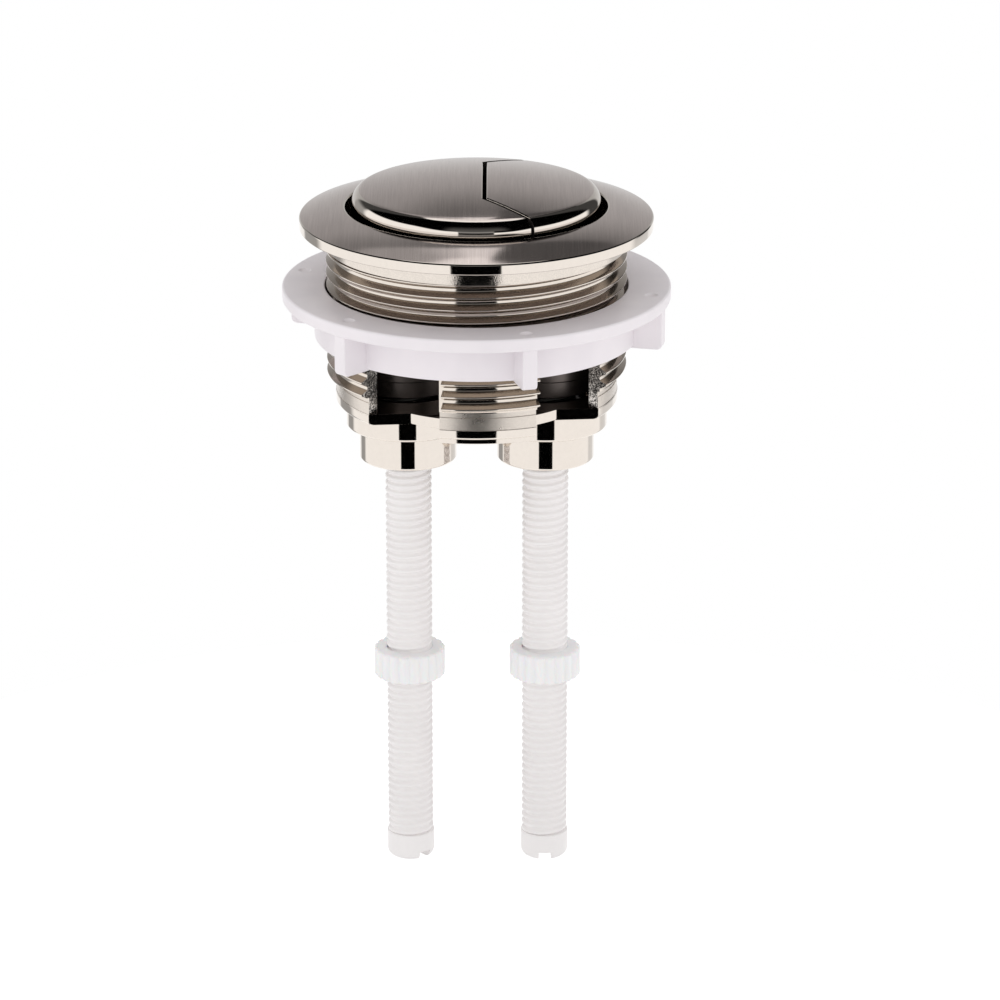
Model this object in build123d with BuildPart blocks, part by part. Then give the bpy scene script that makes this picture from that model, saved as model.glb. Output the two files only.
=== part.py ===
"""Dual-flush push button actuator for a toilet cistern.

The origin is the middle of the seat plane, where the bezel lies on the cistern lid, and +Z points up.
Heights are measured up from that plane and depths down from it, in millimetres.
"""

import os
from math import cos, radians, sin, tan

from build123d import *

os.makedirs("parts", exist_ok=True)

# Bezel
bezel_diameter = 58.0
rim_height = 1.75
lip_height = 3.55
hole_diameter = 42.9
bezel_bulge = 0.2
rim_edge_radius = 0.45
lip_edge_radius = 0.3

# Barrel: a plain neck, a thread drawn as rings, and a plain lead below it
barrel_diameter = 49.4
barrel_length = 29.4
neck_length = 3.0
thread_pitch = 2.08
thread_turns = 10
thread_depth = 1.2
lead_diameter = 46.6
foot_length = 0.7
foot_inset = 0.2

# Windows in the barrel wall, turned a little about the axis
window_clocking = 5.0
pillar_angle = 39.4
window_angle = 34.0
window_top_depth = 14.0

# Floor of the barrel and the two stepped cups below it
floor_thickness = 1.8
floor_diameter = 36.4
cup_spacing = 22.8
cup_wall = 1.5
wide_cup_diameter = 20.4
wide_cup_depth = 34.2
lower_cup_diameter = 16.1
lower_cup_depth = 39.95
cup_edge_chamfer = 0.4

# Buttons
button_gap = 1.1
button_crown_height = 8.3
button_shoulder_height = 6.0
button_edge_radius = 2.1
button_wall = 1.6
button_skirt_depth = 6.0
button_travel = 5.0
split_gap = 0.6
split_offset = 1.35
split_straight = 22.0
split_turn = 47.0

# Guide post and threaded stem under each button
post_clearance = 0.25
post_wall = 1.5
stem_wall = 1.05
stem_clearance = 0.25
stem_end_inset = 0.6
stop_clearance = 0.4

# Snap legs that hold the buttons in the windows
leg_angle = 18.0
hook_reach = 2.2
hook_height = 2.6
hook_step = 0.9
hook_clearance = 0.25

# Return springs
spring_clearance = 0.2
spring_turns = 5.0
spring_wire_sides = 5
spring_top_depth = 4.0

# Push rods
rod_diameter = 7.7
rod_top_depth = 22.0
rod_foot_depth = 107.1
rod_foot_diameter = 8.0
rod_foot_length = 4.65
rod_foot_radius = 1.2
rod_top_chamfer = 0.8
rod_clearance = 0.1
rod_slot_width = 2.1
rod_slot_depth = 1.5
rod_adjustment = 8.0
full_flush_slot_turn = 129.0
half_flush_slot_turn = 92.0

# Lock nuts on the rods
rod_nut_diameter = 12.0
rod_nut_height = 5.0
rod_nut_depth = 73.7
rod_nut_flutes = 20
rod_nut_flute_radius = 0.62
rod_nut_flute_sink = 0.35
rod_nut_chamfer = 0.4

# Flange nut
nut_clearance = 0.2
nut_depth = 9.8
nut_height = 8.6
nut_wall = 1.8
flange_diameter = 63.9
flange_thickness = 2.2
flange_edge_radius = 0.4
wing_count = 6
wing_clocking = -74.0
wing_width = 2.45
wing_edge_inset = 0.45
wing_drop = 0.35
wing_corner_radius = 1.0
dimple_diameter = 2.2
dimple_depth = 0.35
dimple_edge_distance = 2.6

# Radii and heights that follow from those sizes
bezel_radius = bezel_diameter / 2
hole_radius = hole_diameter / 2
barrel_radius = barrel_diameter / 2
lead_radius = lead_diameter / 2
floor_radius = floor_diameter / 2
root_radius = barrel_radius - thread_depth
thread_end_depth = neck_length + thread_turns * thread_pitch
lead_top_depth = thread_end_depth + thread_pitch / 2
floor_depth = barrel_length - floor_thickness
window_end_angle = pillar_angle / 2 + window_angle
web_half_depth = lead_radius * cos(radians(window_end_angle))

cup_offset = cup_spacing / 2
wide_cup_radius = wide_cup_diameter / 2
lower_cup_radius = lower_cup_diameter / 2
wide_bore_radius = wide_cup_radius - cup_wall
lower_bore_radius = lower_cup_radius - cup_wall
cup_step_depth = wide_cup_depth - cup_wall
cup_seat_depth = lower_cup_depth - cup_wall

rod_radius = rod_diameter / 2
rod_bore_radius = rod_radius + rod_clearance
stem_radius = rod_bore_radius + stem_wall
stem_hole_radius = stem_radius + stem_clearance
stem_end_depth = lower_cup_depth - stem_end_inset
rod_bore_top_depth = rod_top_depth - rod_adjustment

button_radius = hole_radius - button_gap
post_radius = wide_bore_radius - post_clearance
post_end_depth = cup_step_depth - button_travel - stop_clearance
pocket_radius = post_radius - post_wall
hook_top_depth = window_top_depth + hook_clearance
hook_radius = button_radius + hook_reach
leg_end_depth = hook_top_depth + hook_height

spring_room = lower_bore_radius - stem_radius
spring_wire = spring_room - 2 * spring_clearance
spring_radius = stem_radius + spring_room / 2
spring_length = cup_seat_depth - spring_top_depth

nut_bore_radius = barrel_radius + nut_clearance
nut_wall_radius = nut_bore_radius + nut_wall
flange_radius = flange_diameter / 2
wing_radius = flange_radius - wing_edge_inset
flange_underside = nut_depth + flange_thickness
nut_bottom_depth = nut_depth + nut_height
wing_bottom_depth = nut_bottom_depth + wing_drop

FRONT = -90.0
BACK = 90.0
FULL_FLUSH_SIDE = -1
HALF_FLUSH_SIDE = 1


def pair_middles(side):
    """Angles midway between the front or back pillar and the wall on one side, with no clocking."""
    from_pillar = side * (pillar_angle + window_angle) / 2
    return [FRONT + from_pillar, BACK - from_pillar]


def window_starts(side):
    """Angles at which the two windows on one side of the axis begin."""
    return [middle + window_clocking - window_angle / 2 for middle in pair_middles(side)]


def leg_starts(side):
    """Angles at which the two snap legs of one button begin, square to the split."""
    return [middle - leg_angle / 2 for middle in pair_middles(side)]


def ring_sector(inner_radius, outer_radius, start, sweep_angle):
    """Draw a sector of a ring as a face of the sketch in hand."""
    with BuildLine() as outline:
        outer = CenterArc((0, 0), outer_radius, start, sweep_angle)
        inner = CenterArc((0, 0), inner_radius, start, sweep_angle)
        Line(outer @ 0, inner @ 0)
        Line(outer @ 1, inner @ 1)
    make_face(outline.edges())


def thread_line():
    """Points down the outside of the barrel, from the seat plane to the last crest of the thread."""
    points = [(barrel_radius, 0), (barrel_radius, -neck_length)]
    for turn in range(thread_turns):
        crest_depth = neck_length + turn * thread_pitch
        points.append((root_radius, -crest_depth - thread_pitch / 2))
        points.append((barrel_radius, -crest_depth - thread_pitch))
    return points


def cup_plane(side):
    """Upright plane through the axis of the cup on one side, with X along the radius."""
    return Plane(origin=(side * cup_offset, 0, 0), x_dir=(1, 0, 0), z_dir=(0, -1, 0))


def cup_axis(side):
    """Axis of the cup, post, spring and rod on one side."""
    return Axis((side * cup_offset, 0, 0), (0, 0, 1))


def radial_plane(turn):
    """Upright plane through the main axis, with X along the radius at this angle."""
    along = (cos(radians(turn)), sin(radians(turn)), 0)
    return Plane(origin=(0, 0, 0), x_dir=along, z_dir=(along[1], -along[0], 0))


def section_box(inner, outer, bottom, top):
    """Draw a rectangle between two radii and two heights in a plane through an axis."""
    with Locations((inner, bottom)):
        Rectangle(outer - inner, top - bottom, align=(Align.MIN, Align.MIN))


# Housing: bezel, barrel, floor and cups in one plated moulding
with BuildPart() as housing:
    with BuildSketch(Plane.XZ):
        with BuildLine():
            rim_top = (bezel_radius, rim_height)
            lip_top = (hole_radius, lip_height)
            Polyline((barrel_radius, 0), (bezel_radius, 0), rim_top)
            SagittaArc(rim_top, lip_top, -bezel_bulge)
            Polyline(
                lip_top,
                (hole_radius, -floor_depth),
                (0, -floor_depth),
                (0, -barrel_length),
                (lead_radius, -barrel_length),
                (lead_radius, -lead_top_depth),
                (barrel_radius, -thread_end_depth),
            )
            Polyline(*thread_line())
        profile = make_face()
        fillet(profile.vertices().sort_by_distance(rim_top)[0], rim_edge_radius)
        fillet(profile.vertices().sort_by_distance(lip_top)[0], lip_edge_radius)
    revolve(axis=Axis.Z)

    # Windows through the wall, down past the end of the barrel
    for start in window_starts(FULL_FLUSH_SIDE) + window_starts(HALF_FLUSH_SIDE):
        with BuildSketch(Plane.XY.offset(-window_top_depth)):
            ring_sector(floor_radius, bezel_radius, start, window_angle)
        extrude(amount=window_top_depth - lower_cup_depth, mode=Mode.SUBTRACT)

    # Flat-fronted webs that tie the floor to the wall beside the cups
    with BuildSketch(Plane.XY.offset(-floor_depth)):
        Circle(lead_radius)
        Rectangle(lead_diameter, 2 * web_half_depth, rotation=window_clocking, mode=Mode.INTERSECT)
    extrude(amount=-floor_thickness)

    # Short foot under the front and back pillars
    for middle in (FRONT, BACK):
        with BuildSketch(Plane.XY.offset(-barrel_length)):
            ring_sector(
                hole_radius,
                lead_radius - foot_inset,
                middle + window_clocking - pillar_angle / 2,
                pillar_angle,
            )
        extrude(amount=-foot_length)

    # Stepped cups: the wide bore guides the button's post, the lower one holds the spring
    for side in (FULL_FLUSH_SIDE, HALF_FLUSH_SIDE):
        with Locations((side * cup_offset, 0, -floor_depth)):
            Cylinder(
                wide_bore_radius,
                floor_thickness,
                align=(Align.CENTER, Align.CENTER, Align.MAX),
                mode=Mode.SUBTRACT,
            )
        with BuildSketch(cup_plane(side)):
            with BuildLine():
                wide_corner = (wide_cup_radius, -wide_cup_depth)
                lower_corner = (lower_cup_radius, -lower_cup_depth)
                Polyline(
                    (wide_cup_radius, -floor_depth),
                    wide_corner,
                    (lower_cup_radius, -wide_cup_depth),
                    lower_corner,
                    (stem_hole_radius, -lower_cup_depth),
                    (stem_hole_radius, -cup_seat_depth),
                    (lower_bore_radius, -cup_seat_depth),
                    (lower_bore_radius, -cup_step_depth),
                    (wide_bore_radius, -cup_step_depth),
                    (wide_bore_radius, -floor_depth),
                    close=True,
                )
            profile = make_face()
            chamfer(profile.vertices().sort_by_distance(wide_corner)[0], cup_edge_chamfer)
            chamfer(profile.vertices().sort_by_distance(lower_corner)[0], cup_edge_chamfer)
        revolve(axis=cup_axis(side))

housing.part.label = "housing"
export_step(housing.part, "parts/housing.step")


def dome_profile(inset, bottom):
    """Draw half the section of the domed button, moved in from its surface by inset."""
    edge = (button_radius - inset, button_shoulder_height - inset)
    crown = (0, button_crown_height - inset)
    with BuildLine() as outline:
        RadiusArc(crown, edge, dome_radius)
        Polyline(edge, (button_radius - inset, bottom), (0, bottom), crown)
    profile = make_face(outline.edges())
    fillet(profile.vertices().sort_by_distance(edge)[0], button_edge_radius - inset / 2)


def split_area(shift):
    """Corners of the area on the half-flush side of the split, moved sideways by shift."""
    corner_y = split_straight / 2 - shift * tan(radians(split_turn / 2))
    far_x = split_offset + shift + bezel_diameter * sin(radians(split_turn))
    far_y = corner_y + bezel_diameter * cos(radians(split_turn))
    near_x = split_offset + shift
    return [(near_x, corner_y), (near_x, -corner_y), (far_x, -far_y), (far_x, far_y)]


def button_outline(side, inset):
    """Draw the area on one side of the split, moved in from its edge by inset."""
    shift = side * (split_gap / 2 + inset)
    Circle(bezel_radius)
    if side == HALF_FLUSH_SIDE:
        Polygon(*split_area(shift), align=None, mode=Mode.INTERSECT)
    else:
        Polygon(*split_area(shift), align=None, mode=Mode.SUBTRACT)


dome_rise = button_crown_height - button_shoulder_height
dome_radius = (button_radius**2 + dome_rise**2) / (2 * dome_rise)
button_names = {FULL_FLUSH_SIDE: "full_flush_button", HALF_FLUSH_SIDE: "half_flush_button"}

# Buttons: a domed shell on a guide post with a threaded stem, held by two snap legs
for side, name in button_names.items():
    with BuildPart() as hollow:
        with BuildSketch(Plane.XZ):
            dome_profile(button_wall, -button_skirt_depth)
        revolve(axis=Axis.Z)
        with BuildSketch():
            button_outline(side, button_wall)
        extrude(amount=bezel_radius, both=True, mode=Mode.INTERSECT)
        with Locations((side * cup_offset, 0, -button_skirt_depth)):
            Cylinder(
                post_radius,
                button_skirt_depth + button_crown_height,
                align=(Align.CENTER, Align.CENTER, Align.MIN),
                mode=Mode.SUBTRACT,
            )

    with BuildPart() as button:
        with BuildSketch(Plane.XZ):
            dome_profile(0, -button_skirt_depth)
        revolve(axis=Axis.Z)
        with BuildSketch():
            button_outline(side, 0)
        extrude(amount=bezel_radius, both=True, mode=Mode.INTERSECT)
        add(hollow.part, mode=Mode.SUBTRACT)

        # Guide post and stem, with the spring's pocket and the rod's bore
        with BuildSketch(cup_plane(side)):
            with BuildLine():
                Polyline(
                    (0, 0),
                    (post_radius, 0),
                    (post_radius, -post_end_depth),
                    (stem_radius, -post_end_depth),
                    (stem_radius, -stem_end_depth),
                    (0, -stem_end_depth),
                    close=True,
                )
            make_face()
        revolve(axis=cup_axis(side))
        with BuildSketch(cup_plane(side)):
            section_box(stem_radius, pocket_radius, -post_end_depth, -spring_top_depth)
            section_box(0, rod_bore_radius, -stem_end_depth, -rod_bore_top_depth)
        revolve(axis=cup_axis(side), mode=Mode.SUBTRACT)

        # Snap legs under the skirt, each with a hook that catches the top of its window
        for leg_start in leg_starts(side):
            with BuildSketch(Plane.XY.offset(-button_skirt_depth)):
                ring_sector(button_radius - button_wall, button_radius, leg_start, leg_angle)
            extrude(amount=button_skirt_depth - leg_end_depth)
            with BuildSketch(radial_plane(leg_start)):
                with BuildLine():
                    Polyline(
                        (button_radius - button_wall, -hook_top_depth),
                        (hook_radius, -hook_top_depth),
                        (hook_radius, -hook_top_depth - hook_step),
                        (button_radius, -leg_end_depth),
                        (button_radius - button_wall, -leg_end_depth),
                        close=True,
                    )
                make_face()
            revolve(axis=Axis.Z, revolution_arc=leg_angle)

    button.part.label = name
    export_step(button.part, f"parts/{name}.step")

# Return springs: open coils with ground ends, from the cup's floor to the top of the pocket
spring_names = {FULL_FLUSH_SIDE: "full_flush_spring", HALF_FLUSH_SIDE: "half_flush_spring"}
for side, name in spring_names.items():
    with BuildPart() as spring:
        with BuildLine(Plane((side * cup_offset, 0, -cup_seat_depth))) as coil:
            Helix(spring_length / spring_turns, spring_length, spring_radius)
        with BuildSketch(coil.line ^ 0):
            RegularPolygon(spring_wire / 2, spring_wire_sides)
        sweep(path=coil.line, is_frenet=True)
        with Locations((side * cup_offset, 0, -cup_seat_depth)):
            Cylinder(
                lower_bore_radius,
                spring_length,
                align=(Align.CENTER, Align.CENTER, Align.MIN),
                mode=Mode.INTERSECT,
            )

    spring.part.label = name
    export_step(spring.part, f"parts/{name}.step")

# Push rods: plain at the crest of their thread, with a slotted foot
rod_names = {FULL_FLUSH_SIDE: "full_flush_rod", HALF_FLUSH_SIDE: "half_flush_rod"}
slot_turns = {FULL_FLUSH_SIDE: full_flush_slot_turn, HALF_FLUSH_SIDE: half_flush_slot_turn}
rod_tip_depth = rod_foot_depth + rod_foot_length
for side, name in rod_names.items():
    with BuildPart() as rod:
        with BuildSketch(cup_plane(side)):
            with BuildLine():
                foot_corner = (rod_foot_diameter / 2, -rod_tip_depth)
                Polyline(
                    (0, -rod_top_depth),
                    (rod_radius - rod_top_chamfer, -rod_top_depth),
                    (rod_radius, -rod_top_depth - rod_top_chamfer),
                    (rod_radius, -rod_foot_depth),
                    (rod_foot_diameter / 2, -rod_foot_depth),
                    foot_corner,
                    (0, -rod_tip_depth),
                    close=True,
                )
            profile = make_face()
            fillet(profile.vertices().sort_by_distance(foot_corner)[0], rod_foot_radius)
        revolve(axis=cup_axis(side))
        with Locations(Location((side * cup_offset, 0, -rod_tip_depth), (0, 0, slot_turns[side]))):
            Box(
                2 * rod_foot_diameter,
                rod_slot_width,
                rod_slot_depth,
                align=(Align.CENTER, Align.CENTER, Align.MIN),
                mode=Mode.SUBTRACT,
            )

    rod.part.label = name
    export_step(rod.part, f"parts/{name}.step")

# Lock nuts: turned blanks with a ring of finger flutes
rod_nut_names = {FULL_FLUSH_SIDE: "full_flush_rod_nut", HALF_FLUSH_SIDE: "half_flush_rod_nut"}
rod_nut_radius = rod_nut_diameter / 2
rod_nut_bottom_depth = rod_nut_depth + rod_nut_height
for side, name in rod_nut_names.items():
    with BuildPart() as rod_nut:
        with BuildSketch(cup_plane(side)):
            section_box(rod_bore_radius, rod_nut_radius, -rod_nut_bottom_depth, -rod_nut_depth)
            outer_corners = vertices().group_by(Axis.X)[-1]
            chamfer(outer_corners, rod_nut_chamfer)
        revolve(axis=cup_axis(side))
        with BuildSketch(Plane((side * cup_offset, 0, -rod_nut_depth))):
            with PolarLocations(rod_nut_radius + rod_nut_flute_sink, rod_nut_flutes):
                Circle(rod_nut_flute_radius)
        extrude(amount=-rod_nut_height, mode=Mode.SUBTRACT)

    rod_nut.part.label = name
    export_step(rod_nut.part, f"parts/{name}.step")

# Flange nut: a collar with a wide flange, stiffened by wings to turn it by
with BuildPart() as flange_nut:
    with BuildSketch(Plane.XZ):
        section_box(nut_bore_radius, nut_wall_radius, -nut_bottom_depth, -nut_depth)
        section_box(nut_bore_radius, flange_radius, -flange_underside, -nut_depth)
        fillet(vertices().group_by(Axis.X)[-1], flange_edge_radius)
    revolve(axis=Axis.Z)
    for wing in range(wing_count):
        turn = wing_clocking + wing * 360 / wing_count
        with BuildSketch(radial_plane(turn)):
            section_box(nut_wall_radius - nut_wall / 2, wing_radius, -wing_bottom_depth, -flange_underside)
            lower_corner = (wing_radius, -wing_bottom_depth)
            fillet(vertices().sort_by_distance(lower_corner)[0], wing_corner_radius)
        extrude(amount=wing_width / 2, both=True)
    dimple_sphere = (dimple_diameter**2 / 4 + dimple_depth**2) / (2 * dimple_depth)
    with Locations((0, 0, -nut_depth - dimple_depth + dimple_sphere)):
        with PolarLocations(flange_radius - dimple_edge_distance, wing_count, wing_clocking):
            Sphere(dimple_sphere, mode=Mode.SUBTRACT)

flange_nut.part.label = "flange_nut"
export_step(flange_nut.part, "parts/flange_nut.step")
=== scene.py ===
"""Dual flush push button for a cistern lid: brushed and polished nickel with white moulded nuts and rods."""

import logging
import math
from dataclasses import dataclass, field
from enum import Enum
from typing import Any, Callable, Sequence

import bpy
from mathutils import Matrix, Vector

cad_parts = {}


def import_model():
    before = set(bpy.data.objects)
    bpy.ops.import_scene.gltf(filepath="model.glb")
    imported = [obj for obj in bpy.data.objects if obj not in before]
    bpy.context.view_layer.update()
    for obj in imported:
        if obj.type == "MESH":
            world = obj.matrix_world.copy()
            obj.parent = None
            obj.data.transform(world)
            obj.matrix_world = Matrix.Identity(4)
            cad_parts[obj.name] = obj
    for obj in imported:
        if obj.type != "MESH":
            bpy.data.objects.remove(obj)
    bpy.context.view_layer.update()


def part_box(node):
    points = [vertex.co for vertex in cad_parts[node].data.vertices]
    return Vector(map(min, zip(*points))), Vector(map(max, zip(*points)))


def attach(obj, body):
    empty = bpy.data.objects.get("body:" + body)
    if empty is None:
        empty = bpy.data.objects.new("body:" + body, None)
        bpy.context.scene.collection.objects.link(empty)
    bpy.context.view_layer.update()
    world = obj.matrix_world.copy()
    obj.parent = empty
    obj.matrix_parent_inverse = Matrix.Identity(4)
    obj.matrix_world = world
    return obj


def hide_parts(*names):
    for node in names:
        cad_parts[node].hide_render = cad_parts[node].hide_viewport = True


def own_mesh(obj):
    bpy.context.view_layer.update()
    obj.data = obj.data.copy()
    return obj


log = logging.getLogger("cistern_button")

MM = 0.001  # a millimetre, in metres
WELD = 2e-6  # points nearer than this are one, in metres
PLANE_SLACK = 1e-7  # points nearer than this to a cutting plane lie on it, in metres
AT_CORNER = 1e-3  # how near a point lies to the corner that it stands for, in millimetres
BROAD_FACE_WEIGHT = 90  # how far the broad faces lead the shading
CUP_OFFSET = 11.4  # from the main axis to the axes of the cups, in millimetres
LAP = 0.3  # how far a piece reaches into its neighbour, in millimetres
FRONT_AND_BACK = (-90.0, 90.0)  # angles of the front and the back from +X, in degrees
Colour = tuple[float, float, float, float]
Place = tuple[float, float, float]


# ---------------------------------------------------------------- the bench


class Side(Enum):
    """The two flushes, each with the side of the axis that its button stands on."""

    FULL = ("full_flush", -1)
    HALF = ("half_flush", 1)

    @property
    def prefix(self) -> str:
        """First words of the names of this flush's pieces."""
        return self.value[0]

    @property
    def sign(self) -> int:
        """Direction along X from the main axis."""
        return self.value[1]

    @property
    def axis(self) -> float:
        """Where the axis of this flush's cup, spring and rod stands in X, in millimetres."""
        return self.sign * CUP_OFFSET


class Cut(Enum):
    """What one solid does to another."""

    AWAY = "DIFFERENCE"
    ONTO = "UNION"


class Keep(Enum):
    """The side of a cutting plane that stays, along the plane's normal."""

    BELOW = 0
    ABOVE = 1


@dataclass(frozen=True)
class Corner:
    """A corner of an outline, in millimetres: distance from the axis, height and rounding."""

    r: float
    z: float
    radius: float = 0.0
    steps: int = 4


def box_mm(node: str) -> tuple[Vector, Vector]:
    """Lowest and highest corner of a node of the frame, in millimetres."""
    low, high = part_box(node)
    return low / MM, high / MM


def clear_selection() -> None:
    """Leave edit mode and deselect everything, the nodes of the frame too."""
    if bpy.context.object is not None and bpy.context.object.mode != "OBJECT":
        bpy.ops.object.mode_set(mode="OBJECT")
    bpy.ops.object.select_all(action="DESELECT")


class Piece:
    """A mesh on the bench, shaped with the modelling operators. Its lengths are in millimetres."""

    def __init__(self, name: str) -> None:
        """Take the object that an operator has just added.

        Args:
            name: Name of the piece.
        """
        self.obj: bpy.types.Object = bpy.context.object
        self.obj.name = name
        self.obj.data.name = name

    # ------------------------------------------------------------ starts

    @classmethod
    def outline(cls, name: str, corners: Sequence[Corner]) -> "Piece":
        """Draw a flat face upright in the XZ plane, corner by corner, and round its corners.

        Args:
            name: Name of the piece.
            corners: The corners in order.

        Returns:
            The piece, one face in the XZ plane.
        """
        clear_selection()
        bpy.ops.mesh.primitive_plane_add(size=MM)
        piece = cls(name)
        bpy.ops.object.mode_set(mode="EDIT")
        bpy.ops.mesh.select_all(action="SELECT")
        bpy.ops.mesh.merge(type="CENTER")
        first = corners[0]
        bpy.ops.transform.translate(value=(first.r * MM, 0, first.z * MM))
        for last, corner in zip(corners, corners[1:]):
            step = ((corner.r - last.r) * MM, 0, (corner.z - last.z) * MM)
            bpy.ops.mesh.extrude_vertices_move(TRANSFORM_OT_translate={"value": step})
        bpy.ops.mesh.select_all(action="SELECT")
        bpy.ops.mesh.edge_face_add()
        for number, corner in enumerate(corners):
            if corner.radius:
                before, after = corners[number - 1], corners[(number + 1) % len(corners)]
                piece._round_corner(before, corner, after)
        return piece

    def _round_corner(self, before: Corner, corner: Corner, after: Corner) -> None:
        """Bevel one corner of the outline to its radius.

        Args:
            before: The corner before it.
            corner: The corner that is rounded.
            after: The corner after it.
        """
        here = Vector((corner.r, corner.z))
        back = (Vector((before.r, before.z)) - here).normalized()
        ahead = (Vector((after.r, after.z)) - here).normalized()
        slide = corner.radius / math.tan(back.angle(ahead) / 2)
        self.pick_points(lambda p: math.hypot(p.x - corner.r, p.z - corner.z) < AT_CORNER)
        bpy.ops.mesh.bevel(
            offset=slide * MM, segments=corner.steps, affect="VERTICES", profile=0.5, clamp_overlap=False
        )

    @classmethod
    def turned(
        cls, name: str, corners: Sequence[Corner], steps: int = 96, axis: tuple[float, float] = (0.0, 0.0)
    ) -> "Piece":
        """Turn an outline a full round about an upright axis, as on a lathe.

        Args:
            name: Name of the piece.
            corners: The outline, with its distances measured from that axis.
            steps: Facets round the piece.
            axis: Where the axis stands in X and Y.

        Returns:
            The closed piece.
        """
        piece = cls.outline(name, corners)
        piece.edit()
        bpy.ops.mesh.delete(type="ONLY_FACE")
        bpy.ops.mesh.select_all(action="SELECT")
        bpy.ops.mesh.spin(steps=steps, angle=math.tau, center=(0, 0, 0), axis=(0, 0, 1))
        piece.weld()
        return piece.shift(axis[0], axis[1], 0.0)

    @classmethod
    def plug(
        cls, name: str, radius: float, low: float, high: float, steps: int, axis: tuple[float, float] = (0.0, 0.0)
    ) -> "Piece":
        """Turn a plain round cutter.

        Args:
            name: Name of the cutter.
            radius: Its radius.
            low: Height of its lower end.
            high: Height of its upper end.
            steps: Facets round it.
            axis: Where its axis stands in X and Y.

        Returns:
            The cutter.
        """
        corners = [Corner(0.0, high), Corner(radius, high), Corner(radius, low), Corner(0.0, low)]
        return cls.turned(name, corners, steps, axis)

    @classmethod
    def sector(
        cls, name: str, corners: Sequence[Corner], start: float, sweep: float, steps: int = 16
    ) -> "Piece":
        """Sweep an outline part of the way round the main axis.

        Args:
            name: Name of the piece.
            corners: The outline.
            start: Angle from +X at which the sweep starts, in degrees.
            sweep: Angle of the sweep, in degrees.
            steps: Facets along it.

        Returns:
            The closed piece.
        """
        piece = cls.outline(name, corners).rotate(0.0, 0.0, start)
        piece.edit()
        bpy.ops.mesh.spin(steps=steps, angle=-math.radians(sweep), center=(0, 0, 0), axis=(0, 0, 1))
        piece.weld()
        return piece

    @classmethod
    def block(cls, name: str, low: Place, high: Place) -> "Piece":
        """Add a block between two corners, to be shaped further or used as a cutter.

        Args:
            name: Name of the piece.
            low: Lowest corner.
            high: Highest corner.

        Returns:
            The block.
        """
        clear_selection()
        middle = [(a + b) / 2 * MM for a, b in zip(low, high)]
        bpy.ops.mesh.primitive_cube_add(size=1.0, location=middle)
        piece = cls(name)
        piece.obj.scale = [(b - a) * MM for a, b in zip(low, high)]
        bpy.ops.object.transform_apply(location=True, rotation=True, scale=True)
        return piece

    # ------------------------------------------------------------ choosing

    def edit(self) -> None:
        """Open the piece alone in edit mode with all of it selected."""
        self.rest()
        bpy.ops.object.mode_set(mode="EDIT")
        bpy.ops.mesh.select_mode(type="VERT")
        bpy.ops.mesh.select_all(action="SELECT")

    def rest(self) -> None:
        """Make the piece the only one selected, in object mode."""
        clear_selection()
        self.obj.select_set(True)
        bpy.context.view_layer.objects.active = self.obj

    def pick_points(self, test: Callable[[Vector], bool]) -> None:
        """Select the points at places that pass a test, and stay in edit mode.

        Args:
            test: Takes a place in millimetres.
        """
        self.edit()
        bpy.ops.mesh.select_all(action="DESELECT")
        bpy.ops.object.mode_set(mode="OBJECT")
        for vertex in self.obj.data.vertices:
            if test(vertex.co / MM):
                vertex.select = True
        bpy.ops.object.mode_set(mode="EDIT")

    # ------------------------------------------------------------ shaping

    def weld(self) -> "Piece":
        """Merge doubled points, clear loose edges and turn the faces outwards.

        Returns:
            This piece.
        """
        self.edit()
        bpy.ops.mesh.remove_doubles(threshold=WELD)
        bpy.ops.mesh.delete_loose(use_verts=True, use_edges=True, use_faces=False)
        bpy.ops.mesh.select_all(action="SELECT")
        bpy.ops.mesh.normals_make_consistent(inside=False)
        bpy.ops.object.mode_set(mode="OBJECT")
        return self

    def rotate(self, x: float, y: float, z: float) -> "Piece":
        """Turn the piece about the origin.

        Args:
            x: Turn about X, in degrees.
            y: Turn about Y.
            z: Turn about Z.

        Returns:
            This piece.
        """
        self.rest()
        self.obj.rotation_euler = [math.radians(a) for a in (x, y, z)]
        bpy.ops.object.transform_apply(location=False, rotation=True, scale=False)
        return self

    def shift(self, x: float, y: float, z: float) -> "Piece":
        """Move the piece.

        Args:
            x: Way along X.
            y: Way along Y.
            z: Way along Z.

        Returns:
            This piece.
        """
        self.rest()
        self.obj.location = [a * MM for a in (x, y, z)]
        bpy.ops.object.transform_apply(location=True, rotation=False, scale=False)
        return self

    def screw(self, pitch: float, turns: float, steps: int, rise: float | None = None) -> "Piece":
        """Wind the outline's edges up the main axis with a Screw modifier.

        Args:
            pitch: Rise in one turn.
            turns: Number of turns.
            steps: Facets in one turn.
            rise: Height of the whole winding where it is a single coil.

        Returns:
            This piece.
        """
        self.rest()
        bpy.ops.object.modifier_add(type="SCREW")
        winding = self.obj.modifiers[-1]
        winding.axis = "Z"
        if rise is None:
            winding.screw_offset = pitch * MM
            winding.iterations = int(turns)
            winding.steps = winding.render_steps = steps
        else:
            winding.angle = math.tau * turns
            winding.screw_offset = rise * MM
            winding.steps = winding.render_steps = int(steps * turns)
        bpy.ops.object.modifier_apply(modifier=winding.name)
        return self.weld()

    def trim(self, place: Place, normal: Place, keep: Keep) -> "Piece":
        """Cut the piece off flat at a plane and close the cut.

        Args:
            place: A point of the plane.
            normal: The plane's normal.
            keep: The side that stays.

        Returns:
            This piece.
        """
        self.edit()
        bpy.ops.mesh.bisect(
            plane_co=[a * MM for a in place],
            plane_no=normal,
            use_fill=True,
            clear_inner=keep is Keep.ABOVE,
            clear_outer=keep is Keep.BELOW,
            threshold=PLANE_SLACK,
        )
        return self.weld()

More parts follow.
